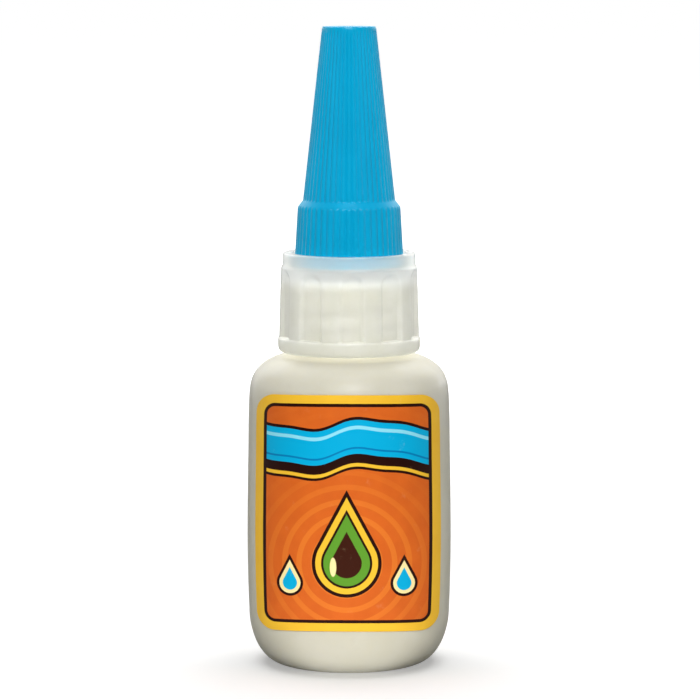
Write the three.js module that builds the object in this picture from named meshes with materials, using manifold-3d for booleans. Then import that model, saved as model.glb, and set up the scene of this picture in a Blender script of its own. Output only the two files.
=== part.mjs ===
// Small squeeze bottle of super glue: a round blow-moulded bottle with a screw neck, the glue in it,
// a dispensing nozzle whose grip collar screws onto the neck over a sealing washer, a long ribbed
// overcap that screws onto the nozzle, a steel pin in the overcap that keeps the nozzle's mouth open,
// and two stuck-on labels. Millimetres, +Z up, origin at the centre of the flat base, front label at -Y.
import * as THREE from "three";
import { mergeVertices } from "three/addons/utils/BufferGeometryUtils.js";
import Module from "manifold-3d";

const wasm = await Module();
wasm.setup();

// ---------------------------------------------------------------- driving dimensions, mm
const ROUND = 40; // facets round the bottle and the labels
const GRIP_ROUND = 50; // facets round the nozzle's collar
const SPOUT_ROUND = 24; // facets round the nozzle's spout
const RIBS = 48; // grip ribs round the overcap
const RIB_DEPTH = 0.2;

// bottle
const BASE_FLAT_R = 9.0; // the flat that it stands on
const BASE_CORNER = { a: 4.38, b: 6.5 }; // rounded lower corner, half axes
const BODY = [
  // radius and height up the slightly barrelled wall
  [13.38, 6.5],
  [13.5, 12],
  [13.55, 19],
  [13.45, 28],
  [13.3, 35],
];
const SHOULDER = [
  [13.18, 36.6],
  [12.85, 37.9],
  [12.2, 39.15],
  [11.2, 40.0],
  [9.6, 40.65],
  [7.4, 40.95],
];
const NECK_R = 6.75; // wall of the neck, between its threads
const NECK_BORE_R = 5.2;
const NECK_TOP = 50.2;
const WALL = 1.0;
const FLOOR = 1.2;

// neck thread and the collar's thread on it: right-handed, one start
const NECK_PITCH = 2.5;
const NECK_THREAD_Z = 43.6;
const NECK_TURNS = 2;
const NECK_DEPTH = 0.7;
const NECK_PHASE = -0.85; // the collar's ridge lies this far under the neck's

// nozzle and its grip collar
const COLLAR_FOOT = 41.5;
const COLLAR_TOP = 54.6;
const COLLAR_BORE_R = 7.8;
const RECESS_R = 7.5; // the overcap's skirt stands in this recess
const RECESS_FLOOR = 52.4;
const DECK_UNDER = 51.3;
const FLUTES = 10;
const FLUTE_WIDTH = 3.05;
const FLUTE_FLOOR_R = 8.62;
const FLUTE_Z = [43.5, 52.75];
const FLUTE_TURN = 2.0; // degrees, from dead centre at the front
const BOSS_R = 4.7; // threaded root of the nozzle
const BOSS_TOP = 58.3;
const TIP_TOP = 77.8;
const TIP_R = 1.35;
const MOUTH_R = 0.62;

// nozzle thread and the overcap's thread on it: right-handed, one start
const CAP_PITCH = 3.0;
const CAP_THREAD_Z = 53.4;
const CAP_TURNS = 1.25;
const CAP_DEPTH = 0.65;
const CAP_PHASE = -0.95;

// overcap
const CAP_FOOT = 52.7;
const CAP_TOP = 84.3;
const CAP_BORE_R = 5.7;
const SEAT_Z = 78.2; // the boss in the crown closes on the nozzle's tip
const PIN_R = 0.42;
const PIN_HOLE_R = 0.5;
const PIN_Z = [67.0, 83.1];

// washer, glue, labels
const WASHER = { inner: 5.05, outer: 7.0, low: 50.3, high: 51.2 };
const GLUE_LEVEL = 31.6;
const GLUE_GAP = 0.15;
const LABEL_GAP = 0.06;
const LABEL_THICK = 0.14;
const LABEL_HALF_WIDTH = 12.27;
const LABEL_CORNER_R = 2.4;
const LABEL_TOP = { side: 36.2, middle: 36.8 };
const LABEL_FOOT = { side: 5.3, middle: 6.2 };

// ---------------------------------------------------------------- solids
const tau = Math.PI * 2;

function solidOf(geometry) {
  const g = geometry.index ? geometry.toNonIndexed() : geometry.clone();
  g.deleteAttribute("normal");
  g.deleteAttribute("uv");
  const merged = mergeVertices(g, 1e-4);
  const index = merged.index.array;
  const kept = [];
  for (let i = 0; i < index.length; i += 3) {
    const [a, b, c] = [index[i], index[i + 1], index[i + 2]];
    if (a !== b && b !== c && a !== c) kept.push(a, b, c);
  }
  const vertProperties = new Float32Array(merged.attributes.position.array);
  const make = (t) =>
    new wasm.Manifold(
      new wasm.Mesh({
        numProp: 3,
        vertProperties,
        triVerts: new Uint32Array(t),
      }),
    );
  const made = make(kept);
  if (made.volume() >= 0) return made;
  for (let i = 0; i < kept.length; i += 3)
    [kept[i + 1], kept[i + 2]] = [kept[i + 2], kept[i + 1]];
  return make(kept);
}

function geometryOf(solid) {
  const m = solid.getMesh();
  const v = new Float32Array(m.numVert * 3);
  for (let i = 0; i < m.numVert; i++)
    v.set(
      m.vertProperties.subarray(i * m.numProp, i * m.numProp + 3),
      i * 3,
    );
  const g = new THREE.BufferGeometry();
  g.setAttribute("position", new THREE.BufferAttribute(v, 3));
  g.setIndex(new THREE.BufferAttribute(new Uint32Array(m.triVerts), 1));
  const flat = g.toNonIndexed();
  flat.computeVertexNormals();
  return flat;
}

// a turned shape: [radius, height] points, from the axis to the axis or closed on themselves
function turned(points, facets) {
  const g = new THREE.LatheGeometry(
    points.map(([r, z]) => new THREE.Vector2(r, z)),
    facets,
  );
  g.rotateX(Math.PI / 2);
  return g;
}

function arc(r0, z0, a, b, from, to, steps) {
  const out = [];
  for (let i = 0; i <= steps; i++) {
    const t = THREE.MathUtils.degToRad(from + ((to - from) * i) / steps);
    out.push([r0 + a * Math.sin(t), z0 + b * (1 - Math.cos(t))]);
  }
  return out;
}

// one ridge of a screw thread on a wall of radius rootR; depth is outward, or inward if negative.
// Its ends run out into the wall.
function ridge({ rootR, depth, rootHalf, crestHalf, z, pitch, from, turns }) {
  const bury = 0.3 * Math.sign(depth);
  const shape = new THREE.Shape([
    new THREE.Vector2(-bury, -rootHalf),
    new THREE.Vector2(0, -rootHalf),
    new THREE.Vector2(depth, -crestHalf),
    new THREE.Vector2(depth, crestHalf),
    new THREE.Vector2(0, rootHalf),
    new THREE.Vector2(-bury, rootHalf),
  ]);
  const steps = Math.round(turns * 18);
  const g = new THREE.ExtrudeGeometry(shape, {
    depth: 1,
    steps,
    bevelEnabled: false,
  });
  const p = g.attributes.position;
  for (let i = 0; i < p.count; i++) {
    const t = p.getZ(i);
    const turn = from + t * turns;
    const grown = THREE.MathUtils.smoothstep(
      Math.min(t, 1 - t) * turns,
      0,
      0.12,
    );
    const out = -bury + (p.getX(i) + bury) * (0.15 + 0.85 * grown);
    const r = rootR + out;
    const a = turn * tau;
    p.setXYZ(
      i,
      r * Math.cos(a),
      r * Math.sin(a),
      z + p.getY(i) + pitch * turn,
    );
  }
  return solidOf(g);
}

// ---------------------------------------------------------------- bottle
const outerCorner = arc(
  BASE_FLAT_R,
  0,
  BASE_CORNER.a,
  BASE_CORNER.b,
  0,
  90,
  6,
);
const outerWall = [...outerCorner, ...BODY.slice(1), ...SHOULDER];
const innerCorner = arc(8.6, FLOOR, 3.78, 5.1, 0, 90, 4);
const innerWall = [
  ...innerCorner,
  [13.55 - WALL - 0.03, 17],
  [13.3 - WALL, 35],
  [12.15, 36.5],
  [11.65, 37.8],
  [10.7, 38.95],
  [9.2, 39.65],
  [6.5, 40.05],
  [NECK_BORE_R, 41.2],
];
const bottle = solidOf(
  turned(
    [
      [0, 0],
      ...outerWall,
      [NECK_R, 41.6],
      [NECK_R, NECK_TOP - 0.3],
      [NECK_R - 0.25, NECK_TOP],
      [NECK_BORE_R + 0.25, NECK_TOP],
      [NECK_BORE_R, NECK_TOP - 0.25],
      ...innerWall.slice().reverse(),
      [0, FLOOR],
    ],
    ROUND,
  ),
).add(
  ridge({
    rootR: NECK_R - 0.03,
    depth: NECK_DEPTH,
    rootHalf: 0.55,
    crestHalf: 0.25,
    z: NECK_THREAD_Z,
    pitch: NECK_PITCH,
    from: 0,
    turns: NECK_TURNS,
  }),
);

// ---------------------------------------------------------------- glue
const glueAt = (z) =>
  THREE.MathUtils.mapLinear(z, 17, 35, 13.55 - WALL - 0.03, 13.3 - WALL) -
  GLUE_GAP;
const glue = solidOf(
  turned(
    [
      [0, FLOOR + GLUE_GAP],
      ...arc(8.5, FLOOR + GLUE_GAP, 3.66, 5.0, 0, 90, 4),
      [glueAt(17), 17],
      [glueAt(GLUE_LEVEL), GLUE_LEVEL],
      [glueAt(GLUE_LEVEL) - 0.5, GLUE_LEVEL - 0.12],
      [0, GLUE_LEVEL - 0.12],
    ],
    ROUND,
  ),
);

// ---------------------------------------------------------------- washer on the neck
const washer = solidOf(
  turned(
    [
      [WASHER.inner, WASHER.low],
      [WASHER.outer, WASHER.low],
      [WASHER.outer, WASHER.high],
      [WASHER.inner, WASHER.high],
      [WASHER.inner, WASHER.low],
    ],
    ROUND,
  ),
);

// ---------------------------------------------------------------- nozzle with its grip collar
const collarWall = [
  [COLLAR_BORE_R + 0.25, COLLAR_FOOT],
  [8.9, COLLAR_FOOT],
  [9.22, COLLAR_FOOT + 0.15],
  [9.38, COLLAR_FOOT + 0.5],
  [9.4, 43.25],
  [9.25, FLUTE_Z[0]],
  [8.98, 52.55],
  [8.73, 52.95],
  [8.69, 54.2],
  [8.6, 54.45],
  [8.4, COLLAR_TOP],
  [RECESS_R + 0.15, COLLAR_TOP],
  [RECESS_R, COLLAR_TOP - 0.15],
  [RECESS_R, RECESS_FLOOR],
  [BOSS_R - 0.3, RECESS_FLOOR],
  [BOSS_R - 0.3, DECK_UNDER],
  [COLLAR_BORE_R, DECK_UNDER],
  [COLLAR_BORE_R, COLLAR_FOOT + 0.25],
];
const spout = [
  [4.85, 48.9],
  [4.85, DECK_UNDER + 0.4],
  [BOSS_R, DECK_UNDER + 0.6],
  [BOSS_R, BOSS_TOP - 0.3],
  [BOSS_R - 0.3, BOSS_TOP],
  [3.4, BOSS_TOP],
  [3.05, BOSS_TOP + 0.7],
  [TIP_R, TIP_TOP - 0.5],
  [TIP_R - 0.25, TIP_TOP],
  [MOUTH_R, TIP_TOP],
];
const nozzleBore = [
  [MOUTH_R, 72],
  [2.0, 58.5],
  [2.7, 52.8],
  [4.0, 50.9],
  [4.0, 48.4],
  [4.6, 48.4],
];
let nozzle = solidOf(turned([...collarWall, collarWall[0]], GRIP_ROUND))
  .add(solidOf(turned([...spout, ...nozzleBore, spout[0]], SPOUT_ROUND)))
  .add(
    ridge({
      rootR: COLLAR_BORE_R + 0.02,
      depth: -NECK_DEPTH,
      rootHalf: 0.55,
      crestHalf: 0.25,
      z: NECK_THREAD_Z + NECK_PHASE,
      pitch: NECK_PITCH,
      from: 0,
      turns: NECK_TURNS,
    }),
  )
  .add(
    ridge({
      rootR: BOSS_R - 0.02,
      depth: CAP_DEPTH,
      rootHalf: 0.6,
      crestHalf: 0.3,
      z: CAP_THREAD_Z,
      pitch: CAP_PITCH,
      from: 0,
      turns: CAP_TURNS,
    }),
  );
// grip flutes: flat-floored pockets with round heads, standing on the collar's foot bead
const pocket = new THREE.Shape();
pocket.moveTo(-FLUTE_WIDTH / 2, FLUTE_Z[0]);
pocket.lineTo(FLUTE_WIDTH / 2, FLUTE_Z[0]);
pocket.lineTo(FLUTE_WIDTH / 2, FLUTE_Z[1] - 0.9);
pocket.quadraticCurveTo(FLUTE_WIDTH / 2, FLUTE_Z[1], 0, FLUTE_Z[1]);
pocket.quadraticCurveTo(
  -FLUTE_WIDTH / 2,
  FLUTE_Z[1],
  -FLUTE_WIDTH / 2,
  FLUTE_Z[1] - 0.9,
);
for (let i = 0; i < FLUTES; i++) {
  const g = new THREE.ExtrudeGeometry(pocket, {
    depth: 2,
    curveSegments: 4,
    bevelEnabled: false,
  });
  g.rotateX(Math.PI / 2); // its outline stands upright and its depth runs to -Y
  g.translate(0, -FLUTE_FLOOR_R, 0);
  g.rotateZ((i / FLUTES) * tau + THREE.MathUtils.degToRad(FLUTE_TURN));
  nozzle = nozzle.subtract(solidOf(g));
}

// ---------------------------------------------------------------- overcap
const capOutside = turned(
  [
    [0, CAP_FOOT],
    [7.0, CAP_FOOT],
    [7.16, CAP_FOOT + 0.2],
    [7.13, COLLAR_TOP],
    [6.84, 60.1],
    [6.7, 60.72],
    [6.13, 61.45],
    [6.06, 61.7],
    [3.59, CAP_TOP - 0.35],
    [3.35, CAP_TOP],
    [0, CAP_TOP],
  ],
  RIBS * 2,
);
{
  // every other line of the outside is a valley between two ribs
  const p = capOutside.attributes.position;
  for (let i = 0; i < p.count; i++) {
    const [x, y, z] = [p.getX(i), p.getY(i), p.getZ(i)];
    const r = Math.hypot(x, y);
    if (r < 3.4 || (z < CAP_FOOT + 0.1 && r < 7.1)) continue;
    const line = Math.round((Math.atan2(y, x) / tau) * RIBS * 2);
    if (line % 2 === 0) continue;
    const k = (r - RIB_DEPTH) / r;
    p.setXY(i, x * k, y * k);
  }
}
const capHollow = turned(
  [
    [0, CAP_FOOT - 0.3],
    [5.95, CAP_FOOT - 0.3],
    [CAP_BORE_R, CAP_FOOT + 0.4],
    [CAP_BORE_R, 58.7],
    [4.9, 59.5],
    [4.7, 62.0],
    [2.6, 81.0],
    [2.35, 81.5],
    [1.75, 81.5],
    [1.55, 81.2],
    [1.5, SEAT_Z + 0.3],
    [1.2, SEAT_Z],
    [0, SEAT_Z],
  ],
  ROUND,
);
const pinHole = turned(
  [
    [0, SEAT_Z - 0.5],
    [PIN_HOLE_R, SEAT_Z - 0.5],
    [PIN_HOLE_R, PIN_Z[1] + 0.1],
    [0, PIN_Z[1] + 0.1],
  ],
  16,
);
const overcap = solidOf(capOutside)
  .subtract(solidOf(capHollow))
  .subtract(solidOf(pinHole))
  .add(
    ridge({
      rootR: CAP_BORE_R + 0.02,
      depth: -CAP_DEPTH,
      rootHalf: 0.6,
      crestHalf: 0.3,
      z: CAP_THREAD_Z + CAP_PHASE,
      pitch: CAP_PITCH,
      from: 0.4,
      turns: CAP_TURNS,
    }),
  );

// ---------------------------------------------------------------- pin in the overcap
const pin = solidOf(
  turned(
    [
      [0, PIN_Z[0]],
      [0.14, PIN_Z[0] + 0.08],
      [0.32, PIN_Z[0] + 0.45],
      [PIN_R, PIN_Z[0] + 1.0],
      [PIN_R, PIN_Z[1] - 0.15],
      [PIN_R - 0.12, PIN_Z[1]],
      [0, PIN_Z[1]],
    ],
    16,
  ),
);

// ---------------------------------------------------------------- labels
// a skin just outside the wall, with the wall's own facets, cut to the label's outline
const wall = outerWall;
const skinLevels = wall.filter(([, z]) => z > 4.0 && z < 38.5);
const skin = solidOf(
  turned(
    [
      ...skinLevels.map(([r, z]) => [r + LABEL_GAP, z]),
      ...skinLevels
        .slice()
        .reverse()
        .map(([r, z]) => [r + LABEL_GAP + LABEL_THICK, z]),
      [skinLevels[0][0] + LABEL_GAP, skinLevels[0][1]],
    ],
    ROUND,
  ),
);
function labelOutline() {
  const w = LABEL_HALF_WIDTH,
    c = LABEL_CORNER_R;
  const top = (x) =>
    LABEL_TOP.side + (LABEL_TOP.middle - LABEL_TOP.side) * (1 - (x / w) ** 2);
  const foot = (x) =>
    LABEL_FOOT.side +
    (LABEL_FOOT.middle - LABEL_FOOT.side) * (1 - (x / w) ** 2);
  const pts = [];
  const corner = (cx, cz, from) => {
    for (let i = 0; i <= 5; i++) {
      const t = THREE.MathUtils.degToRad(from + i * 18);
      pts.push(new THREE.Vector2(cx + c * Math.cos(t), cz + c * Math.sin(t)));
    }
  };
  const inner = w - c;
  const run = (level, xs) =>
    xs.forEach((x) => pts.push(new THREE.Vector2(x, level(x))));
  run(foot, [-inner * 0.66, -inner * 0.33, 0, inner * 0.33, inner * 0.66]);
  corner(inner, foot(inner) + c, -90);
  corner(inner, top(inner) - c, 0);
  run(top, [inner * 0.66, inner * 0.33, 0, -inner * 0.33, -inner * 0.66]);
  corner(-inner, top(inner) - c, 90);
  corner(-inner, foot(inner) + c, 180);
  return new THREE.Shape(pts);
}
function label(turn) {
  const g = new THREE.ExtrudeGeometry(labelOutline(), {
    depth: 20,
    bevelEnabled: false,
  });
  g.rotateX(Math.PI / 2); // the outline stands upright and the depth runs to -Y
  g.rotateZ(turn);
  return skin.intersect(solidOf(g));
}

// ---------------------------------------------------------------- assembly
const part = new THREE.Group();
part.name = "super_glue_bottle";
function place(name, solid, material, group = part) {
  const m = new THREE.Mesh(
    geometryOf(solid),
    new THREE.MeshStandardMaterial(material),
  );
  m.name = name;
  group.add(m);
  return m;
}

const body = new THREE.Group();
place("bottle", bottle, { color: 0xd8d6c8, roughness: 0.45, metalness: 0 }, body);
place("glue_fill", glue, { color: 0xdedcc8, roughness: 0.2, metalness: 0 }, body);
place("front_label", label(0), { color: 0xec7228, roughness: 0.4, metalness: 0 }, body);
place("back_label", label(Math.PI), { color: 0xec7228, roughness: 0.4, metalness: 0 }, body);
part.add(body);

const dispenser = new THREE.Group();
place("neck_seal", washer, { color: 0xf0f0ea, roughness: 0.7, metalness: 0 }, dispenser);
place("nozzle_collar", nozzle, { color: 0xe2e0d8, roughness: 0.4, metalness: 0 }, dispenser);
part.add(dispenser);

const cap = new THREE.Group();
place("anti_clog_pin", pin, { color: 0xc8c9cc, roughness: 0.25, metalness: 1 }, cap);
place("overcap", overcap, { color: 0x05a0d2, roughness: 0.35, metalness: 0 }, cap);
part.add(cap);

export default part;
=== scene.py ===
import math

import bpy
import numpy as np
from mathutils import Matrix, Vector


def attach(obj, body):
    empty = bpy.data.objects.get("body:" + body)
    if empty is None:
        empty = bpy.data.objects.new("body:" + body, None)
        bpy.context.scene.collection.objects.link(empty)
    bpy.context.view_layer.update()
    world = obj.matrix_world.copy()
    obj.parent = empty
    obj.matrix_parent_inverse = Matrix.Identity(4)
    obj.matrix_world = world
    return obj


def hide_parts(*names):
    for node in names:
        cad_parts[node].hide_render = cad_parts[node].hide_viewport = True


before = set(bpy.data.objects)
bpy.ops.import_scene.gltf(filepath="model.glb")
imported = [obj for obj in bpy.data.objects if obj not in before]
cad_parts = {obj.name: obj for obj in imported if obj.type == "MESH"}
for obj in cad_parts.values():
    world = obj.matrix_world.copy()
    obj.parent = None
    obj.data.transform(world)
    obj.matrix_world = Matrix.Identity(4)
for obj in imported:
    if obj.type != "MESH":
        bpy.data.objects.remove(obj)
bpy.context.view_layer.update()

scene = bpy.context.scene

# ---------------------------------------------------------------- camera
lens = bpy.data.cameras.new("camera")
lens.lens = 188.8
lens.sensor_width = 36.0
lens.clip_start = 0.01
camera = bpy.data.objects.new("camera", lens)
camera.location = (0.00012, -0.483, 0.0962)
camera.rotation_euler = (math.radians(90 - 6.45), 0, 0)
scene.collection.objects.link(camera)
scene.camera = camera

# ---------------------------------------------------------------- shape helpers, in millimetres
MM = 0.001
TURN = 2 * math.pi


def sstep(value, low, high):
    t = np.clip((np.asarray(value, float) - low) / (high - low), 0, 1)
    return t * t * (3 - 2 * t)


def rounded(*corners):
    """A path of (r, z) through corners (r, z, radius), each turned into an arc."""
    out = []
    for i, corner in enumerate(corners):
        here = np.array(corner[:2], float)
        radius = corner[2] if len(corner) > 2 else 0
        if radius <= 0 or i in (0, len(corners) - 1):
            out.append(here)
            continue
        a = np.array(corners[i - 1][:2]) - here
        b = np.array(corners[i + 1][:2]) - here
        la, lb = np.linalg.norm(a), np.linalg.norm(b)
        a, b = a / la, b / lb
        turn = math.pi - math.acos(float(np.clip(a @ b, -1, 1)))
        if turn < 0.03:
            out.append(here)
            continue
        cut = min(radius * math.tan(turn / 2), 0.48 * la, 0.48 * lb)
        radius = cut / math.tan(turn / 2)
        middle = here + (a + b) / np.linalg.norm(a + b) * (radius / math.cos(turn / 2))
        start, end = here + a * cut - middle, here + b * cut - middle
        a0 = math.atan2(start[1], start[0])
        sweep = (math.atan2(end[1], end[0]) - a0 + math.pi) % TURN - math.pi
        steps = max(2, math.ceil(turn / math.radians(14)))
        for k in range(steps + 1):
            at = a0 + sweep * k / steps
            out.append(middle + radius * np.array([math.cos(at), math.sin(at)]))
    return np.array(out)


def dense(path, step):
    """The path with longer stretches divided, and close rows kept beside each bend."""
    out = [path[0]]
    for a, b in zip(path, path[1:]):
        length = np.linalg.norm(b - a)
        if length > 0.7:
            near = 0.12 / length
            inner = np.linspace(near, 1 - near, max(2, math.ceil(length / step) + 1))
            out += [a + (b - a) * t for t in inner]
        out.append(b)
    return np.array(out)


def curve(points, per=8):
    """A smooth path through the points."""
    p = np.array(points, float)
    p = np.vstack([2 * p[0] - p[1], p, 2 * p[-1] - p[-2]])
    t = np.linspace(0, 1, per, endpoint=False)[:, None]
    out = []
    for a, b, c, d in zip(p, p[1:], p[2:], p[3:]):
        l0, l1, l2 = (np.linalg.norm(v) for v in (b - a, c - b, d - c))
        m1 = ((b - a) / l0 - (c - a) / (l0 + l1) + (c - b) / l1) * l1
        m2 = ((c - b) / l1 - (d - b) / (l1 + l2) + (d - c) / l2) * l1
        out.append(
            (2 * t**3 - 3 * t**2 + 1) * b
            + (t**3 - 2 * t**2 + t) * m1
            + (3 * t**2 - 2 * t**3) * c
            + (t**3 - t**2) * m2
        )
    return np.vstack(out + [p[-2:-1]])


def ridge(theta, z, z0, pitch, begin, turns, depth, root, crest):
    """How far a screw ridge stands out at each angle and height, run out at both ends."""
    best = np.zeros(np.broadcast(theta, z).shape)
    for k in range(int(begin) - 1, int(begin + turns) + 2):
        turn = np.mod(theta, TURN) / TURN + k
        left = np.minimum(turn - begin, begin + turns - turn)
        high = depth * sstep(root - np.abs(z - z0 - pitch * turn), 0, root - crest)
        best = np.maximum(best, np.where(left > 0, high * sstep(left, 0, 0.12), 0))
    return best


def mesh_of(name, place, faces, bake):
    mesh = bpy.data.meshes.new(name)
    mesh.from_pydata((place * MM).tolist(), [], faces)
    mesh.polygons.foreach_set("use_smooth", np.ones(len(faces), bool))
    layer = mesh.uv_layers.new(name="OFBake")
    layer.uv.foreach_set("vector", bake.astype(np.float32).ravel())
    mesh.update()
    return mesh


def skin(name, R, Z, theta, loop=False, low=None, high=None):
    """A turned surface from radii and heights by row and column. A low or high pole closes its end."""
    n, m = R.shape
    place = np.stack([R * np.cos(theta), R * np.sin(theta), Z + 0 * R], -1).reshape(-1, 3)
    I, J = np.meshgrid(np.arange(n if loop else n - 1), np.arange(m), indexing="ij")
    I1, J1 = (I + 1) % n, (J + 1) % m
    faces = np.stack([I * m + J, I * m + J1, I1 * m + J1, I1 * m + J], -1).reshape(-1, 4).tolist()
    line = np.stack([R.mean(1), (Z + 0 * R).mean(1)], -1)
    if low is not None:
        line = np.vstack([[0, low], line])
    if high is not None:
        line = np.vstack([line, [0, high]])
    if loop:
        line = np.vstack([line, line[:1]])
    along = np.concatenate([[0], np.cumsum(np.linalg.norm(np.diff(line, axis=0), axis=1))])
    along = 0.004 + 0.992 * along / along[-1]
    turn = 0.004 + 0.992 * np.append((theta - theta[0]) / TURN, 1.0)
    first = 0 if low is None else 1
    V0, V1, U0, U1 = along[first + I], along[first + I + 1], turn[J], turn[J + 1]
    bake = np.stack([U0, V0, U1, V0, U1, V1, U0, V1], -1).reshape(-1, 2)
    half = (turn[:-1] + turn[1:]) / 2
    j = np.arange(m)
    if low is not None:
        faces += np.stack([np.full(m, len(place)), (j + 1) % m, j], -1).tolist()
        place = np.vstack([place, [0, 0, low]])
        flat = np.full(m, along[1])
        bake = np.vstack([bake, np.stack([half, np.full(m, along[0]), turn[1:], flat, turn[:-1], flat], -1).reshape(-1, 2)])
    if high is not None:
        last = (n - 1) * m
        faces += np.stack([last + j, last + (j + 1) % m, np.full(m, len(place))], -1).tolist()
        place = np.vstack([place, [0, 0, high]])
        flat = np.full(m, along[-2])
        bake = np.vstack([bake, np.stack([turn[:-1], flat, turn[1:], flat, half, np.full(m, along[-1])], -1).reshape(-1, 2)])
    return mesh_of(name, place, faces, bake)


pieces = []


def add(name, mesh, material, body, node, sharp=48):
    mesh.materials.append(material)
    mesh.set_sharp_from_angle(angle=math.radians(sharp))
    ob = bpy.data.objects.new(name, mesh)
    scene.collection.objects.link(ob)
    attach(ob, body)
    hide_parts(node)
    pieces.append(ob)
    return ob


# ---------------------------------------------------------------- material helpers
def rgb(r, g, b):
    """A linear colour from sRGB numbers of 0 to 255."""
    return tuple(c / 12.92 if c <= 0.04045 else ((c + 0.055) / 1.055) ** 2.4 for c in (r / 255, g / 255, b / 255)) + (1.0,)


class Look:
    def __init__(self, name):
        self.mat = bpy.data.materials.new(name)
        self.mat.use_nodes = True
        self.tree = self.mat.node_tree
        self.tree.nodes.clear()
        self.bsdf = self.new("ShaderNodeBsdfPrincipled")
        out = self.new("ShaderNodeOutputMaterial")
        self.tree.links.new(self.bsdf.outputs["BSDF"], out.inputs["Surface"])
        where = self.new("ShaderNodeTexCoord")
        scaled = self.new("ShaderNodeMapping")
        scaled.inputs["Scale"].default_value = (1000, 1000, 1000)
        self.tree.links.new(where.outputs["Object"], scaled.inputs["Vector"])
        self.mm = scaled.outputs["Vector"]
        parts = self.new("ShaderNodeSeparateXYZ")
        self.tree.links.new(self.mm, parts.inputs[0])
        self.x, self.y, self.z = parts.outputs

    def new(self, kind):
        return self.tree.nodes.new(kind)

    def put(self, socket, value):
        if isinstance(value, bpy.types.NodeSocket):
            self.tree.links.new(value, socket)
        else:
            socket.default_value = value

    def math(self, operation, *values):
        node = self.new("ShaderNodeMath")
        node.operation = operation
        for socket, value in zip(node.inputs, values):
            self.put(socket, value)
        return node.outputs[0]

    def ramp(self, value, low, high, to_low=0.0, to_high=1.0, soft=True):
        node = self.new("ShaderNodeMapRange")
        node.interpolation_type = "SMOOTHSTEP" if soft else "LINEAR"
        node.clamp = True
        for key, v in zip(("Value", "From Min", "From Max", "To Min", "To Max"), (value, low, high, to_low, to_high)):
            self.put(node.inputs[key], v)
        return node.outputs["Result"]

    def mix(self, factor, a, b):
        node = self.new("ShaderNodeMix")
        node.data_type = "RGBA"
        self.put(node.inputs["Factor"], factor)
        colours = [s for s in node.inputs if s.type == "RGBA"]
        self.put(colours[0], a)
        self.put(colours[1], b)
        return [s for s in node.outputs if s.type == "RGBA"][0]

    def noise(self, scale, detail=3.0, rough=0.55, at=None, stretch=None):
        node = self.new("ShaderNodeTexNoise")
        source = at or self.mm
        if stretch:
            pull = self.new("ShaderNodeMapping")
            pull.inputs["Scale"].default_value = stretch
            self.put(pull.inputs["Vector"], source)
            source = pull.outputs["Vector"]
        self.put(node.inputs["Vector"], source)
        node.inputs["Scale"].default_value = scale
        node.inputs["Detail"].default_value = detail
        node.inputs["Roughness"].default_value = rough
        return node.outputs[0]

    def bump(self, height, distance, strength=1.0, under=None):
        node = self.new("ShaderNodeBump")
        node.inputs["Strength"].default_value = strength
        node.inputs["Distance"].default_value = distance * MM
        self.put(node.inputs["Height"], height)
        if under is not None:
            self.put(node.inputs["Normal"], under)
        return node.outputs["Normal"]

    def set(self, **values):
        for key, value in values.items():
            self.put(self.bsdf.inputs[key.replace("_", " ")], value)
        return self.mat


# ---------------------------------------------------------------- materials
def bottle_look():
    k = Look("natural bottle plastic")
    cloud = k.noise(0.16, 4)
    mottle = k.noise(0.9, 3)
    base = k.mix(k.ramp(cloud, 0.3, 0.7), rgb(203, 200, 186), rgb(199, 196, 180))
    filled = k.ramp(k.math("ADD", k.z, k.math("MULTIPLY", cloud, 1.2)), 31.4, 33.0, 0.16, 0.0)
    base = k.mix(filled, base, rgb(192, 185, 158))
    # painted shade: the shoulder is darker just under the collar, where the collar's shade falls
    base = k.mix(k.ramp(k.z, 40.0, 40.9, 0.0, 0.6), base, rgb(182, 178, 160))
    base = k.mix(k.ramp(mottle, 0.55, 0.8, 0, 0.16), base, rgb(186, 181, 164))
    rough = k.ramp(k.noise(0.6, 4), 0.25, 0.75, 0.3, 0.43)
    grain = k.bump(k.noise(2.2, 3), 0.014, 0.5)
    sag = k.bump(k.noise(0.13, 2, stretch=(1, 1, 0.6)), 0.25, 0.5, grain)
    k.set(Base_Color=base, Roughness=rough, Normal=sag, IOR=1.5)
    k.bsdf.inputs["Specular IOR Level"].default_value = 0.15
    k.bsdf.inputs["Subsurface Weight"].default_value = 0.6
    k.bsdf.inputs["Subsurface Radius"].default_value = (1.0, 0.9, 0.7)
    k.bsdf.inputs["Subsurface Scale"].default_value = 0.0006
    return k.mat


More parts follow.
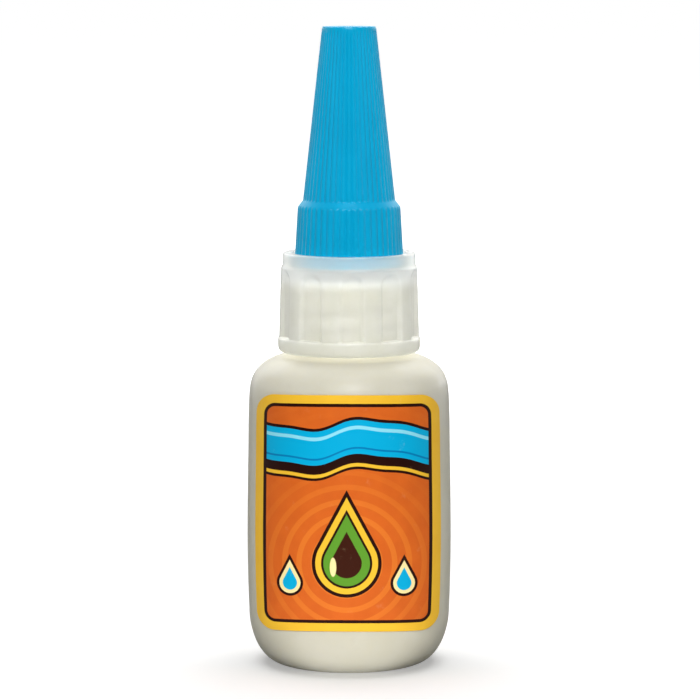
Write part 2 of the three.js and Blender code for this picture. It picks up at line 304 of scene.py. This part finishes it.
def nozzle_look():
    k = Look("natural nozzle plastic")
    cloud = k.noise(0.3, 4)
    base = k.mix(k.ramp(cloud, 0.3, 0.7), rgb(216, 216, 209), rgb(211, 211, 202))
    base = k.mix(k.ramp(k.noise(1.5, 3), 0.58, 0.8, 0, 0.2), base, rgb(194, 193, 184))
    # the rim is a single thin wall, so it is clearer than the double wall below it
    out = k.math("SQRT", k.math("ADD", k.math("MULTIPLY", k.x, k.x), k.math("MULTIPLY", k.y, k.y)))
    thin = k.math("MULTIPLY", k.ramp(k.z, 51.2, 54.0), k.ramp(out, 6.3, 7.4))
    base = k.mix(k.math("MULTIPLY", thin, 0.4), base, rgb(230, 232, 232))
    # painted light: the band just below the rim, where the deck sits behind the wall, is made paler and less clear to
    # lift the shade under the rim
    painted_light_under_rim = k.math("MULTIPLY", k.math("MULTIPLY", k.ramp(k.z, 49.8, 51.6), k.ramp(k.z, 52.3, 53.2, 1.0, 0.0)), k.ramp(out, 6.3, 7.4))
    base = k.mix(k.math("MULTIPLY", painted_light_under_rim, 0.7), base, rgb(232, 234, 233))
    rough = k.math("SUBTRACT", k.ramp(k.noise(0.8, 4), 0.25, 0.75, 0.9, 0.98), k.math("MULTIPLY", thin, 0.32))
    k.set(Base_Color=base, Roughness=rough, Normal=k.bump(k.noise(3.0, 3), 0.01, 0.5), IOR=1.3)
    k.set(Transmission_Weight=k.math("SUBTRACT", k.ramp(thin, 0, 1, 0.43, 0.76), k.math("ADD", k.math("MULTIPLY", painted_light_under_rim, 0.12), k.ramp(k.z, 47.0, 50.2, 0.12, 0.0))))
    k.bsdf.inputs["Subsurface Weight"].default_value = 1.0
    k.bsdf.inputs["Subsurface Radius"].default_value = (1.0, 1.0, 1.0)
    k.bsdf.inputs["Subsurface Scale"].default_value = 0.003
    k.bsdf.inputs["Coat Weight"].default_value = 0.5
    k.bsdf.inputs["Coat Roughness"].default_value = 0.16
    return k.mat


def cap_look():
    k = Look("blue cap plastic")
    cloud = k.noise(0.22, 4, stretch=(1, 1, 0.5))
    base = k.mix(k.ramp(cloud, 0.3, 0.7), rgb(2, 159, 203), rgb(1, 153, 197))
    base = k.mix(k.ramp(k.noise(1.8, 3), 0.56, 0.8, 0, 0.25), base, rgb(1, 144, 189))
    rough = k.ramp(k.noise(0.9, 4), 0.25, 0.75, 0.34, 0.48)
    flow = k.bump(k.noise(1.1, 2, stretch=(1, 1, 0.12)), 0.02, 0.4)
    k.set(Base_Color=base, Roughness=rough, Normal=k.bump(k.noise(5.0, 2), 0.006, 0.5, flow), IOR=1.49)
    k.bsdf.inputs["Specular IOR Level"].default_value = 0.04
    k.bsdf.inputs["Sheen Weight"].default_value = 0.28
    k.bsdf.inputs["Sheen Roughness"].default_value = 0.4
    k.bsdf.inputs["Sheen Tint"].default_value = (0.32, 0.88, 1.0, 1.0)
    k.bsdf.inputs["Coat Weight"].default_value = 0.15
    k.bsdf.inputs["Coat Roughness"].default_value = 0.24
    return k.mat


def glue_look():
    k = Look("liquid glue")
    base = k.mix(k.ramp(k.noise(0.12, 3), 0.3, 0.7), rgb(228, 224, 205), rgb(220, 214, 190))
    rough = k.ramp(k.noise(0.4, 3), 0.3, 0.7, 0.05, 0.11)
    k.set(Base_Color=base, Roughness=rough, Normal=k.bump(k.noise(0.25, 2), 0.05, 0.3), IOR=1.45)
    return k.mat


def seal_look():
    k = Look("foam seal")
    cells = k.new("ShaderNodeTexVoronoi")
    k.put(cells.inputs["Vector"], k.mm)
    cells.inputs["Scale"].default_value = 3.4
    pit = cells.outputs["Distance"]
    # painted shade: the foam is darker in the pits of its cells
    base = k.mix(k.ramp(pit, 0.1, 0.6), rgb(214, 213, 206), rgb(240, 240, 235))
    rough = k.ramp(k.noise(1.4, 3), 0.3, 0.7, 0.72, 0.88)
    k.set(Base_Color=base, Roughness=rough, Normal=k.bump(pit, 0.05, 0.7))
    return k.mat


def pin_look():
    k = Look("drawn steel")
    lines = k.noise(6.0, 4, 0.65, stretch=(1, 1, 0.05))
    base = k.mix(k.ramp(lines, 0.3, 0.7), rgb(206, 208, 211), rgb(178, 181, 186))
    rough = k.ramp(lines, 0.3, 0.7, 0.18, 0.34)
    k.set(Base_Color=base, Roughness=rough, Normal=k.bump(lines, 0.004, 0.6))
    k.bsdf.inputs["Metallic"].default_value = 1.0
    return k.mat


LABEL_W, LABEL_H = 12.1, 30.9


def label_look(name, drops):
    """A printed film: yellow edge, dark keyline, orange field with ripples, a wavy band and drops."""
    k = Look(name)
    flat = k.new("ShaderNodeUVMap")
    flat.uv_map = "print"
    parts = k.new("ShaderNodeSeparateXYZ")
    k.put(parts.inputs[0], flat.outputs[0])
    x = k.math("MULTIPLY_ADD", parts.outputs[0], 2 * LABEL_W, -LABEL_W)
    y = k.math("MULTIPLY", parts.outputs[1], LABEL_H)

    def far(dx, dy):
        return k.math("SQRT", k.math("ADD", k.math("MULTIPLY", dx, dx), k.math("MULTIPLY", dy, dy)))

    def inside(distance, offset=0.0, blur=0.035):
        return k.ramp(distance, offset - blur, offset + blur, 1.0, 0.0)

    def between(value, low, high, blur=0.04):
        return k.math("MULTIPLY", k.ramp(value, low - blur, low + blur), k.ramp(value, high - blur, high + blur, 1.0, 0.0))

    # rounded frame: distance to the keyline's outer edge
    edge, corner = 1.1, 1.5
    qx = k.math("SUBTRACT", k.math("ABSOLUTE", x), LABEL_W - edge - corner)
    qy = k.math("SUBTRACT", k.math("ABSOLUTE", k.math("SUBTRACT", y, LABEL_H / 2)), LABEL_H / 2 - edge - corner)
    box = k.math(
        "ADD",
        far(k.math("MAXIMUM", qx, 0.0), k.math("MAXIMUM", qy, 0.0)),
        k.math("SUBTRACT", k.math("MINIMUM", k.math("MAXIMUM", qx, qy), 0.0), corner),
    )

    def drop(cx, cy, radius, reach):
        sin = radius / reach
        cos = math.sqrt(1 - sin * sin)
        dx = k.math("ABSOLUTE", k.math("SUBTRACT", x, cx))
        dy = k.math("SUBTRACT", y, cy)
        ball = far(dx, dy)
        side = k.math("ADD", k.math("MULTIPLY", dx, cos), k.math("MULTIPLY", dy, sin))
        upper = k.math("GREATER_THAN", k.math("SUBTRACT", k.math("MULTIPLY", dy, cos), k.math("MULTIPLY", dx, sin)), 0.0)
        either = k.math("ADD", ball, k.math("MULTIPLY", upper, k.math("SUBTRACT", side, ball)))
        return k.math("SUBTRACT", either, radius)

    black, yellow, orange = rgb(35, 8, 3), rgb(237, 187, 51), rgb(212, 100, 32)
    blue, cream = rgb(0, 168, 214), rgb(247, 226, 160)
    tone = k.noise(0.35, 3)
    field = k.mix(k.ramp(tone, 0.3, 0.7), orange, rgb(206, 95, 30))
    # ripples that spread from the drop
    centre = 9.0
    out = far(x, k.math("SUBTRACT", y, centre))
    wave = k.math("SINE", k.math("MULTIPLY", out, TURN / 1.9))
    fade = k.ramp(out, 5.5, 15.0, 0.55, 0.05)
    field = k.mix(k.math("MULTIPLY", k.ramp(wave, 0.25, 0.55), fade), field, rgb(230, 128, 44))
    # wavy bands
    bend = k.math(
        "ADD",
        k.math("MULTIPLY", k.math("SINE", k.math("MULTIPLY_ADD", x, 0.36, 0.5)), 0.75),
        k.math("MULTIPLY", k.math("SINE", k.math("MULTIPLY_ADD", x, 0.83, 1.2)), 0.22),
    )
    level = k.math("SUBTRACT", y, bend)
    field = k.mix(between(level, 20.55, 27.35), field, black)
    field = k.mix(between(level, 20.9, 21.35), field, yellow)
    field = k.mix(between(level, 22.55, 26.95), field, blue)
    field = k.mix(between(level, 25.75, 26.2), field, rgb(140, 218, 236))
    field = k.mix(between(level, 23.2, 23.45), field, rgb(0, 120, 176))
    if drops:
        main = drop(0.0, centre, 4.5, 9.6)
        for offset, colour in ((0.0, black), (-0.45, yellow), (-1.2, black), (-1.5, rgb(92, 150, 44)), (-2.55, rgb(58, 22, 8))):
            field = k.mix(inside(main, offset), field, colour)
        glint = far(k.math("DIVIDE", k.math("SUBTRACT", x, -1.75), 0.42), k.math("DIVIDE", k.math("SUBTRACT", y, centre - 0.5), 1.25))
        field = k.mix(inside(glint, 1.0, 0.08), field, cream)
        for cx, cy, size in ((-7.4, 6.4, 1.75), (7.4, 6.4, 1.75)):
            small = drop(cx, cy, size, size * 2.15)
            for offset, colour in ((0.0, black), (-0.35, cream), (-0.8, blue)):
                field = k.mix(inside(small, offset), field, colour)
    else:
        for cx in (-6.6, 0.0, 6.6):
            small = drop(cx, 8.4, 2.0, 4.4)
            for offset, colour in ((0.0, black), (-0.35, yellow), (-0.95, blue)):
                field = k.mix(inside(small, offset), field, colour)
    ink = k.mix(inside(box, -0.42), k.mix(inside(box, 0.0), k.mix(k.ramp(tone, 0.3, 0.7), yellow, rgb(234, 182, 48)), black), field)
    # worn ink and a fine film texture
    worn = k.noise(0.5, 5, 0.65)
    ink = k.mix(k.ramp(worn, 0.62, 0.8, 0, 0.12), ink, rgb(235, 205, 160))
    rough = k.ramp(k.noise(0.7, 4), 0.25, 0.75, 0.34, 0.48)
    k.set(Base_Color=ink, Roughness=rough, Normal=k.bump(k.noise(1.6, 3), 0.008, 0.5), IOR=1.45)
    k.bsdf.inputs["Specular IOR Level"].default_value = 0.12
    return k.mat


# ---------------------------------------------------------------- bottle
corner_t = np.linspace(0, math.pi / 2, 26)
corner_path = np.stack([9 + 4.27 * np.sin(corner_t), 7 * (1 - np.cos(corner_t))], -1)
body_path = curve(
    [
        (13.27, 7.0),
        (13.40, 10.7),
        (13.48, 15.0),
        (13.49, 19.0),
        (13.45, 22.5),
        (13.36, 28.2),
        (13.24, 34.4),
        (13.14, 36.2),
        (12.94, 37.5),
        (12.26, 39.0),
        (11.16, 40.0),
        (9.66, 40.75),
        (8.2, 41.08),
        (7.3, 41.3),
        (6.85, 41.65),
    ],
    7,
)
outer_path = np.vstack([corner_path[:-1], body_path])


def wobble(theta, z):
    """The slight unevenness of a blown wall, none at the neck and the foot."""
    part = sstep(z, 2, 9) * (1 - sstep(z, 36, 40))
    return part * (
        0.014 * np.sin(2 * theta + 1.3) * np.sin(0.16 * z + 0.5)
        + 0.010 * np.sin(3 * theta + 0.4 + 0.11 * z)
        + 0.006 * np.sin(5 * theta + 2.1 - 0.21 * z)
    )


def wall(theta, z):
    """The bottle's outside at a height on its body."""
    return np.interp(z, outer_path[:, 1], outer_path[:, 0]) + wobble(theta, z)


seam = np.radians([0, 0.25, 0.5, 0.8, 1.2, 1.8])
plain = np.radians(np.linspace(3, 177, 105))
half_turn = np.concatenate([seam, plain, math.pi - seam[:0:-1]])
theta = np.concatenate([half_turn, half_turn + math.pi])

base_r = np.concatenate([np.linspace(0.35, 7.5, 25), np.linspace(7.8, 8.8, 4)])
neck_z = np.arange(42.0, 49.85, 0.11)
mouth = rounded((6.72, 49.86), (6.72, 50.18, 0.28), (5.22, 50.18, 0.25), (5.22, 49.5))
inside_path = np.vstack(
    [
        dense(np.array([(5.22, 49.4), (5.22, 41.4)]), 1.2),
        curve([(5.3, 41.05), (6.5, 40.15), (9.2, 39.65), (10.7, 38.95), (11.65, 37.8), (12.15, 36.5), (12.3, 35.0), (12.42, 26.0), (12.5, 17.0), (12.44, 9.0), (12.38, 6.3)], 5),
        np.stack([8.6 + 3.78 * np.sin(corner_t[::-2]), 1.25 + 5.05 * (1 - np.cos(corner_t[::-2]))], -1)[1:],
        [(6.0, 1.25), (3.0, 1.25), (1.0, 1.25)],
    ]
)
line = np.vstack(
    [
        np.stack([base_r, 0 * base_r], -1),
        outer_path,
        np.stack([0 * neck_z + 6.73, neck_z], -1),
        mouth,
        inside_path,
    ]
)
kind = np.repeat(["base", "wall", "neck", "rest"], [len(base_r), len(outer_path), len(neck_z), len(mouth) + len(inside_path)])
R = np.repeat(line[:, :1], len(theta), 1)
Z = np.repeat(line[:, 1:], len(theta), 1)
T = theta[None, :]
is_base, is_wall, is_neck = (kind == k for k in ("base", "wall", "neck"))
push = 0.32 * (1 - sstep(R[is_base], 5.6, 7.2))
bar = (1 - sstep(np.abs(R[is_base] * np.sin(T)), 0.14, 0.5)) * (1 - sstep(np.abs(R[is_base] * np.cos(T)), 4.4, 5.3))
Z[is_base] += push - 0.2 * bar
off_seam = np.minimum(np.abs(np.sin(T)), 0.2) * R[is_wall]
Z_wall = Z[is_wall]
R[is_wall] += wobble(T, Z_wall) + 0.04 * np.exp(-((off_seam / 0.15) ** 2)) * sstep(Z_wall, 0.6, 2.0) * (1 - sstep(Z_wall, 40.2, 41))
R[is_neck] += ridge(T, Z[is_neck], 43.6, 2.5, 0, 2, 0.66, 0.55, 0.22)
bottle = skin("bottle", R, Z, theta, low=0.12, high=1.25)

# ---------------------------------------------------------------- glue, seal and pin
ring = np.radians(np.linspace(0, 360, 144, endpoint=False))


def turned(name, path, columns=ring, **ends):
    return skin(name, np.repeat(path[:, :1], len(columns), 1), np.repeat(path[:, 1:], len(columns), 1), columns, **ends)


fill_t = np.linspace(0, math.pi / 2, 16)
fill = np.vstack(
    [
        [(1.0, 1.4), (4.0, 1.4), (7.0, 1.4)],
        np.stack([8.5 + 3.66 * np.sin(fill_t), 1.4 + 4.95 * (1 - np.cos(fill_t))], -1),
        curve([(12.2, 9.0), (12.3, 17.0), (12.22, 25.0), (12.16, 31.2), (12.1, 31.55)], 4),
        [(11.9, 31.58), (11.5, 31.35), (11.0, 31.15), (10.2, 30.98), (9.0, 30.9), (6.0, 30.86), (2.0, 30.85)],
    ]
)
glue = turned("glue_fill", fill, low=1.4, high=30.85)
seal_path = dense(rounded((5.6, 50.34), (6.96, 50.34, 0.16), (6.96, 51.16, 0.16), (5.1, 51.16, 0.16), (5.1, 50.34, 0.16), (5.5, 50.34)), 0.3)
seal = turned("neck_seal", seal_path, loop=True)
pin_path = np.vstack(
    [
        [(0.05, 67.0), (0.14, 67.07), (0.24, 67.24), (0.33, 67.5), (0.39, 67.8), (0.42, 68.1)],
        dense(np.array([(0.42, 68.2), (0.42, 82.85)]), 0.9),
        [(0.41, 82.95), (0.37, 83.04), (0.28, 83.08), (0.1, 83.08)],
    ]
)
pin = turned("anti_clog_pin", pin_path, np.radians(np.linspace(0, 360, 40, endpoint=False)), low=66.98, high=83.08)

# ---------------------------------------------------------------- nozzle and collar
offsets = np.array([0, 2.8, 5.4, 7.2, 8.0, 8.7, 9.4, 10.1, 10.8, 11.6, 13.0, 15.2])
period = np.concatenate([-offsets[:0:-1], offsets, [18.0]])
FLUTE_TURN = 2.0
theta = np.radians(np.sort(np.concatenate([(-90 + FLUTE_TURN + 36 * i + period) % 360 for i in range(10)])))


def spaced(*stops):
    """Heights from stop to stop, each with the step that leads to the next."""
    out = []
    for (a, step), (b, _) in zip(stops, stops[1:]):
        out.append(np.linspace(a, b, max(2, math.ceil((b - a) / step) + 1))[:-1])
    return np.concatenate(out + [[stops[-1][0]]])


side_z = spaced((43.62, 0.06), (44.1, 0.4), (51.3, 0.06), (52.4, 0.05), (52.6, 0))
side_r = np.interp(side_z, [43.6, 44.7, 46.9, 49.5, 50.8, 52.6], [9.245, 9.225, 9.17, 9.10, 9.04, 8.975])
foot = np.array(
    [(8.4, 41.5), (8.85, 41.5), (9.02, 41.53), (9.17, 41.62), (9.29, 41.78), (9.36, 41.98), (9.395, 42.2), (9.41, 42.5), (9.41, 42.85), (9.405, 43.15), (9.39, 43.28), (9.35, 43.37), (9.3, 43.42), (9.265, 43.46), (9.25, 43.5), (9.247, 43.54), (9.246, 43.58)]
)
rim = np.vstack(
    [
        [(8.968, 52.66), (8.955, 52.72), (8.93, 52.78), (8.89, 52.84), (8.84, 52.9), (8.795, 52.97), (8.765, 53.05), (8.752, 53.15), (8.748, 53.4), (8.745, 53.75), (8.742, 54.05)],
        rounded((8.74, 54.12), (8.735, 54.6, 0.3), (7.52, 54.6, 0.14), (7.5, 53.8)),
    ]
)
recess = dense(rounded((7.5, 53.7), (7.5, 52.4, 0.3), (4.7, 52.4, 0.3), (4.68, 52.8)), 0.7)
root_z = np.arange(52.95, 58.0, 0.13)
spout = dense(rounded((4.68, 58.02), (4.68, 58.3, 0.2), (3.3, 58.3, 0.35), (3.02, 59.4, 0.6), (1.35, 77.2, 0.4), (1.2, 77.78, 0.16), (0.64, 77.78, 0.1), (0.62, 72.0)), 1.6)
bore = dense(rounded((0.65, 71.6), (2.0, 58.5, 2), (2.7, 52.8, 1.0), (4.0, 50.9, 0.4), (4.0, 48.42, 0.1), (4.82, 48.42, 0.3), (4.82, 51.28, 0.2), (7.78, 51.28, 0.3), (7.8, 50.9)), 1.4)
bore_z = np.arange(50.75, 41.95, -0.14)
hem = rounded((7.8, 41.9), (7.82, 41.5, 0.18), (8.3, 41.5))
sections = [
    ("side", np.vstack([foot, np.stack([side_r, side_z], -1)])),
    ("side", rim),
    ("rest", recess),
    ("root", np.stack([0 * root_z + 4.68, root_z], -1)),
    ("rest", spout),
    ("rest", bore),
    ("bore", np.stack([0 * bore_z + 7.8, bore_z], -1)),
    ("rest", hem),
]
line = np.vstack([path for _, path in sections])
kind = np.concatenate([[k] * len(path) for k, path in sections])
R = np.repeat(line[:, :1], len(theta), 1)
Z = np.repeat(line[:, 1:], len(theta), 1)
T = theta[None, :]
is_side, is_root, is_bore = (kind == k for k in ("side", "root", "bore"))
turn = np.degrees(T) + 90 - FLUTE_TURN
turn = np.radians((turn + 18) % 36 - 18)
side = 9.05 * np.abs(turn)
head = 52.62 - 0.85 * (side / 1.55) ** 2
zs = Z[is_side]
cut = (1 - sstep(side, 1.2, 1.8)) * (1 - sstep(zs - head, -0.95, 0.08)) * sstep(zs, 43.42, 43.6)
R[is_side] -= cut * np.maximum(0, R[is_side] - 8.62 / np.cos(turn))
R[is_root] += ridge(T, Z[is_root], 53.4, 3.0, 0, 1.25, 0.6, 0.6, 0.28)
R[is_bore] -= ridge(T, Z[is_bore], 42.75, 2.5, 0, 2, 0.66, 0.55, 0.22)
nozzle = skin("nozzle_collar", R, Z, theta, loop=True)

# ---------------------------------------------------------------- overcap
RIBS = 48
theta = np.radians(np.arange(RIBS * 8) * 45 / RIBS)
inner = dense(
    rounded((0.5, 83.18), (0.5, 78.22, 0.1), (1.25, 78.22, 0.3), (1.55, 79.0, 0.3), (1.58, 81.5, 0.2), (2.45, 81.5, 0.3), (2.62, 80.9, 0.4), (4.7, 62.0, 2.0), (4.88, 59.55, 0.5), (5.7, 58.75, 0.3), (5.7, 58.4)),
    1.5,
)
thread_z = np.arange(58.3, 53.0, -0.13)
lip = rounded((5.7, 52.98), (5.9, 52.72, 0.15), (6.95, 52.72, 0.05), (7.0, 52.73))
out_z = spaced((52.76, 0.05), (53.1, 0.5), (59.4, 0.12), (60.1, 0.06), (62.3, 0.3), (63.2, 0.9), (83.0, 0.15), (83.75, 0.06), (84.05, 0))
crown = rounded((3.52, 84.14), (3.47, 84.29, 0.12), (3.0, 84.285))
top = np.array([(2.6, 84.275), (2.0, 84.26), (1.4, 84.25), (1.0, 84.245), (0.8, 84.22), (0.66, 84.16), (0.55, 84.12), (0.35, 84.11), (0.15, 84.11)])
line = np.vstack([inner, np.stack([0 * thread_z + 5.7, thread_z], -1), lip, np.stack([0 * out_z, out_z], -1), crown, top])
kind = np.repeat(["rest", "thread", "rest", "out", "crown", "rest"], [len(inner), len(thread_z), len(lip), len(out_z), len(crown), len(top)])
R = np.repeat(line[:, :1], len(theta), 1)
Z = np.repeat(line[:, 1:], len(theta), 1)
T = theta[None, :]
is_thread, is_out, is_crown = (kind == k for k in ("thread", "out", "crown"))
R[is_thread] -= ridge(T, Z[is_thread], 52.45, 3.0, 0.4, 1.25, 0.6, 0.6, 0.28)
valley = 1 - np.abs(np.cos(T * RIBS / 2)) ** 1.15


def soft_min(a, b, reach):
    h = np.clip(0.5 + 0.5 * (b - a) / reach, 0, 1)
    return b + (a - b) * h - reach * h * (1 - h)


zo = Z[is_out]
cone = 6.01 + 0.1111 * (62.09 - zo)
cone = soft_min(cone, 3.62 + 0.85 * (84.05 - zo), 0.12)
cone = cone - valley * np.interp(zo, [61, 64, 80, 83.4, 84.0], [0.15, 0.15, 0.12, 0.11, 0.03])
skirt = 7.09 + 0.0604 * (55.3 - zo) - 0.06 * (1 - sstep(zo, 52.7, 53.0))
skirt = skirt - valley * 0.17 * sstep(zo, 52.74, 53.05)
slope = 6.73 - 0.82 * (zo - 60.68)
R[is_out] = -soft_min(-cone, -soft_min(skirt, slope, 0.16), 0.08)
R[is_crown] -= valley * np.interp(Z[is_crown], [84.05, 84.2], [0.03, 0.0])
cap = skin("overcap", R, Z, theta, low=83.18, high=84.11)


# ---------------------------------------------------------------- labels
def label(name, facing):
    """A film that follows the bottle's wall, with rounded corners and a thin edge."""
    radius = 2.4
    arc = np.radians(np.linspace(0, 90, 13))
    low_h, low_x = radius * (1 - np.cos(arc)), LABEL_W - radius + radius * np.sin(arc)
    mid_h = np.linspace(radius, LABEL_H - radius, 64)[1:-1]
    heights = np.concatenate([low_h, mid_h, LABEL_H - low_h[::-1]])
    halves = np.concatenate([low_x, 0 * mid_h + LABEL_W, low_x[::-1]])
    n, m = len(heights), 96
    share = np.linspace(-1, 1, m)
    lean = np.arcsin(halves / 13.5)[:, None] * share[None, :]
    flat_x = 13.5 * np.sin(lean)
    up = heights[:, None] / LABEL_H + 0 * lean
    arch = 1 - (flat_x / LABEL_W) ** 2
    low, high = 5.4 + 0.9 * arch, 36.6 + 0.6 * arch
    z = low + (high - low) * up
    at = lean + facing
    r = wall(at, z)
    sheets = []
    for gap in (0.13, 0.03):
        sheets.append(np.stack([(r + gap) * np.cos(at), (r + gap) * np.sin(at), z], -1))
    front, back = (s.reshape(-1, 3) for s in sheets)
    place = np.vstack([front, back])
    I, J = np.meshgrid(np.arange(n - 1), np.arange(m - 1), indexing="ij")
    quad = np.stack([I * m + J, I * m + J + 1, (I + 1) * m + J + 1, (I + 1) * m + J], -1).reshape(-1, 4)
    around = np.concatenate([np.arange(m - 1), np.arange(n - 1) * m + m - 1, (n - 1) * m + np.arange(m - 1, 0, -1), np.arange(n - 1, 0, -1) * m])
    after = np.roll(around, -1)
    count = n * m
    edge = np.stack([around, around + count, after + count, after], -1)
    faces = np.vstack([quad, quad[:, ::-1] + count, edge])
    flat = np.stack([(flat_x + LABEL_W) / (2 * LABEL_W), up], -1).reshape(-1, 2)
    flat2 = np.vstack([flat, flat])
    bake = flat2[faces] * [0.98, 0.84] + [0.01, 0.15]
    bake[len(quad):2 * len(quad)] = flat2[faces[len(quad):2 * len(quad)]] * [0.98, 0.04] + [0.01, 0.01]
    step = np.linspace(0.01, 0.99, len(around) + 1)
    bake[2 * len(quad):] = np.stack(
        [np.stack([step[:-1], 0 * after + 0.11], -1), np.stack([step[:-1], 0 * after + 0.07], -1), np.stack([step[1:], 0 * after + 0.07], -1), np.stack([step[1:], 0 * after + 0.11], -1)], 1
    )
    mesh = mesh_of(name, place, faces.tolist(), bake.reshape(-1, 2))
    print_map = mesh.uv_layers.new(name="print")
    print_map.uv.foreach_set("vector", flat2[faces].astype(np.float32).ravel())
    return mesh


front = label("front_label", math.radians(-91.35))
rear = label("back_label", math.pi / 2)

# ---------------------------------------------------------------- pieces
add("bottle_visual", bottle, bottle_look(), "bottle", "bottle")
add("glue_visual", glue, glue_look(), "bottle", "glue_fill")
add("front_label_visual", front, label_look("front label print", True), "bottle", "front_label")
add("back_label_visual", rear, label_look("back label print", False), "bottle", "back_label")
add("neck_seal_visual", seal, seal_look(), "seal", "neck_seal")
clear = add("nozzle_visual", nozzle, nozzle_look(), "nozzle", "nozzle_collar")
clear.visible_shadow = False  # light passes through this plastic
add("pin_visual", pin, pin_look(), "pin", "anti_clog_pin")
add("overcap_visual", cap, cap_look(), "cap", "overcap")


# ---------------------------------------------------------------- floor and light
def floor(name, height, tones, glow):
    mesh = bpy.data.meshes.new(name)
    s = 14.0
    mesh.from_pydata([(-s, -s, height), (s, -s, height), (s, s, height), (-s, s, height)], [], [(0, 1, 2, 3)])
    k = Look(name)
    base = k.mix(k.ramp(k.noise(0.02, 3), 0.3, 0.7), tones[0], tones[1])
    k.set(Base_Color=base, Roughness=k.ramp(k.noise(0.05, 3), 0.3, 0.7, 0.85, 0.95), Normal=k.bump(k.noise(0.4, 3), 0.02, 0.3))
    k.bsdf.inputs["Specular IOR Level"].default_value = 0.0
    k.bsdf.inputs["Emission Color"].default_value = (1, 1, 1, 1)
    k.put(k.bsdf.inputs["Emission Strength"], glow(k))
    mesh.materials.append(k.mat)
    ob = bpy.data.objects.new(name, mesh)
    scene.collection.objects.link(ob)
    return ob


def sweep_glow(k):
    """Paler with distance, as a lit white sweep is."""
    out = k.math("SQRT", k.math("ADD", k.math("MULTIPLY", k.x, k.x), k.math("MULTIPLY", k.y, k.y)))
    return k.ramp(out, 60, 500, 0.36, 1.0)


def front_glow(k):
    """The stretch of floor before the bottle, which the key light fills."""
    near = k.math("MULTIPLY", k.ramp(k.y, -95, -50), k.ramp(k.y, -16, -7, 1.0, 0.0))
    return k.math("MULTIPLY", k.math("MULTIPLY", near, k.ramp(k.math("ABSOLUTE", k.x), 25, 65, 1.0, 0.0)), 1.09)


shown = floor("floor", -0.00002, (rgb(232, 232, 232), rgb(229, 229, 229)), sweep_glow)
shown.visible_diffuse = False
shown.visible_glossy = False
shown.visible_shadow = False
bounce = floor("floor_bounce", -0.0004, (rgb(142, 142, 140), rgb(136, 136, 134)), front_glow)
bounce.visible_camera = False


def lamp(name, place, aim, size, power):
    data = bpy.data.lights.new(name, "AREA")
    data.shape = "RECTANGLE"
    data.size, data.size_y = size
    data.energy = power
    ob = bpy.data.objects.new(name, data)
    ob.location = place
    ob.rotation_euler = (Vector(aim) - Vector(place)).to_track_quat("-Z", "Y").to_euler()
    scene.collection.objects.link(ob)
    return ob


def only(name, lamps, receivers):
    """Keeps lamps to the receivers. Everything else still casts their shadows."""
    group = bpy.data.collections.new(name)
    for ob in receivers:
        group.objects.link(ob)
    for ob in lamps:
        ob.light_linking.receiver_collection = group


key = lamp("key", (-0.012, -0.819, 0.62), (0, 0, 0.045), (0.5, 0.35), 10.1)
over = lamp("over", (0.0, -0.12, 0.9), (0, 0, 0.045), (0.3, 0.2), 1.35)
back = lamp("back", (0.0, 0.42, 0.75), (0, 0, 0.03), (0.9, 0.6), 1.5)
left = lamp("left", (-0.36, 0.42, 0.2), (0, 0, 0.045), (0.3, 0.5), 0.85)
right = lamp("right", (0.36, 0.42, 0.2), (0, 0, 0.045), (0.3, 0.5), 1.0)
rear = lamp("rear", (0.0, 0.74, 0.64), (0, 0, 0.045), (0.5, 0.35), 4.2)
window = lamp("window", (0.0, -0.22, 0.68), (0, 0, 0.04), (0.14, 0.1), 0.4)
cap_left = lamp("cap left", (-0.5, -0.06, 0.12), (0, 0, 0.068), (0.12, 0.4), 0.26)
cap_right = lamp("cap right", (0.5, -0.06, 0.12), (0, 0, 0.068), (0.12, 0.4), 0.38)
above = lamp("above", (0.0, 0.16, 0.72), (0, 0.1, 0), (0.8, 0.6), 6.8)
only("lit by the studio", (key, over, back, left, right, rear), pieces + [bounce])
only("lit from the sides", (cap_left, cap_right), [clear, pieces[-1]])
only("lit on the shoulder", (window,), pieces[:1])
only("lit from above", (above,), [shown])

world = bpy.data.worlds.new("studio")
world.use_nodes = True
tree = world.node_tree
way = tree.nodes.new("ShaderNodeTexCoord")
split = tree.nodes.new("ShaderNodeSeparateXYZ")
fall = tree.nodes.new("ShaderNodeMapRange")
fall.interpolation_type = "SMOOTHSTEP"
for key, value in (("From Min", -0.75), ("From Max", 0.35), ("To Min", 0.05), ("To Max", 1.0)):
    fall.inputs[key].default_value = value
tree.links.new(way.outputs["Generated"], split.inputs[0])
tree.links.new(split.outputs["Y"], fall.inputs["Value"])
tree.links.new(fall.outputs["Result"], tree.nodes["Background"].inputs["Strength"])
tree.nodes["Background"].inputs["Color"].default_value = (1, 1, 1, 1)
scene.world = world
world.cycles_visibility.diffuse = False
scene.view_settings.view_transform = "Standard"
scene.cycles.use_denoising = True
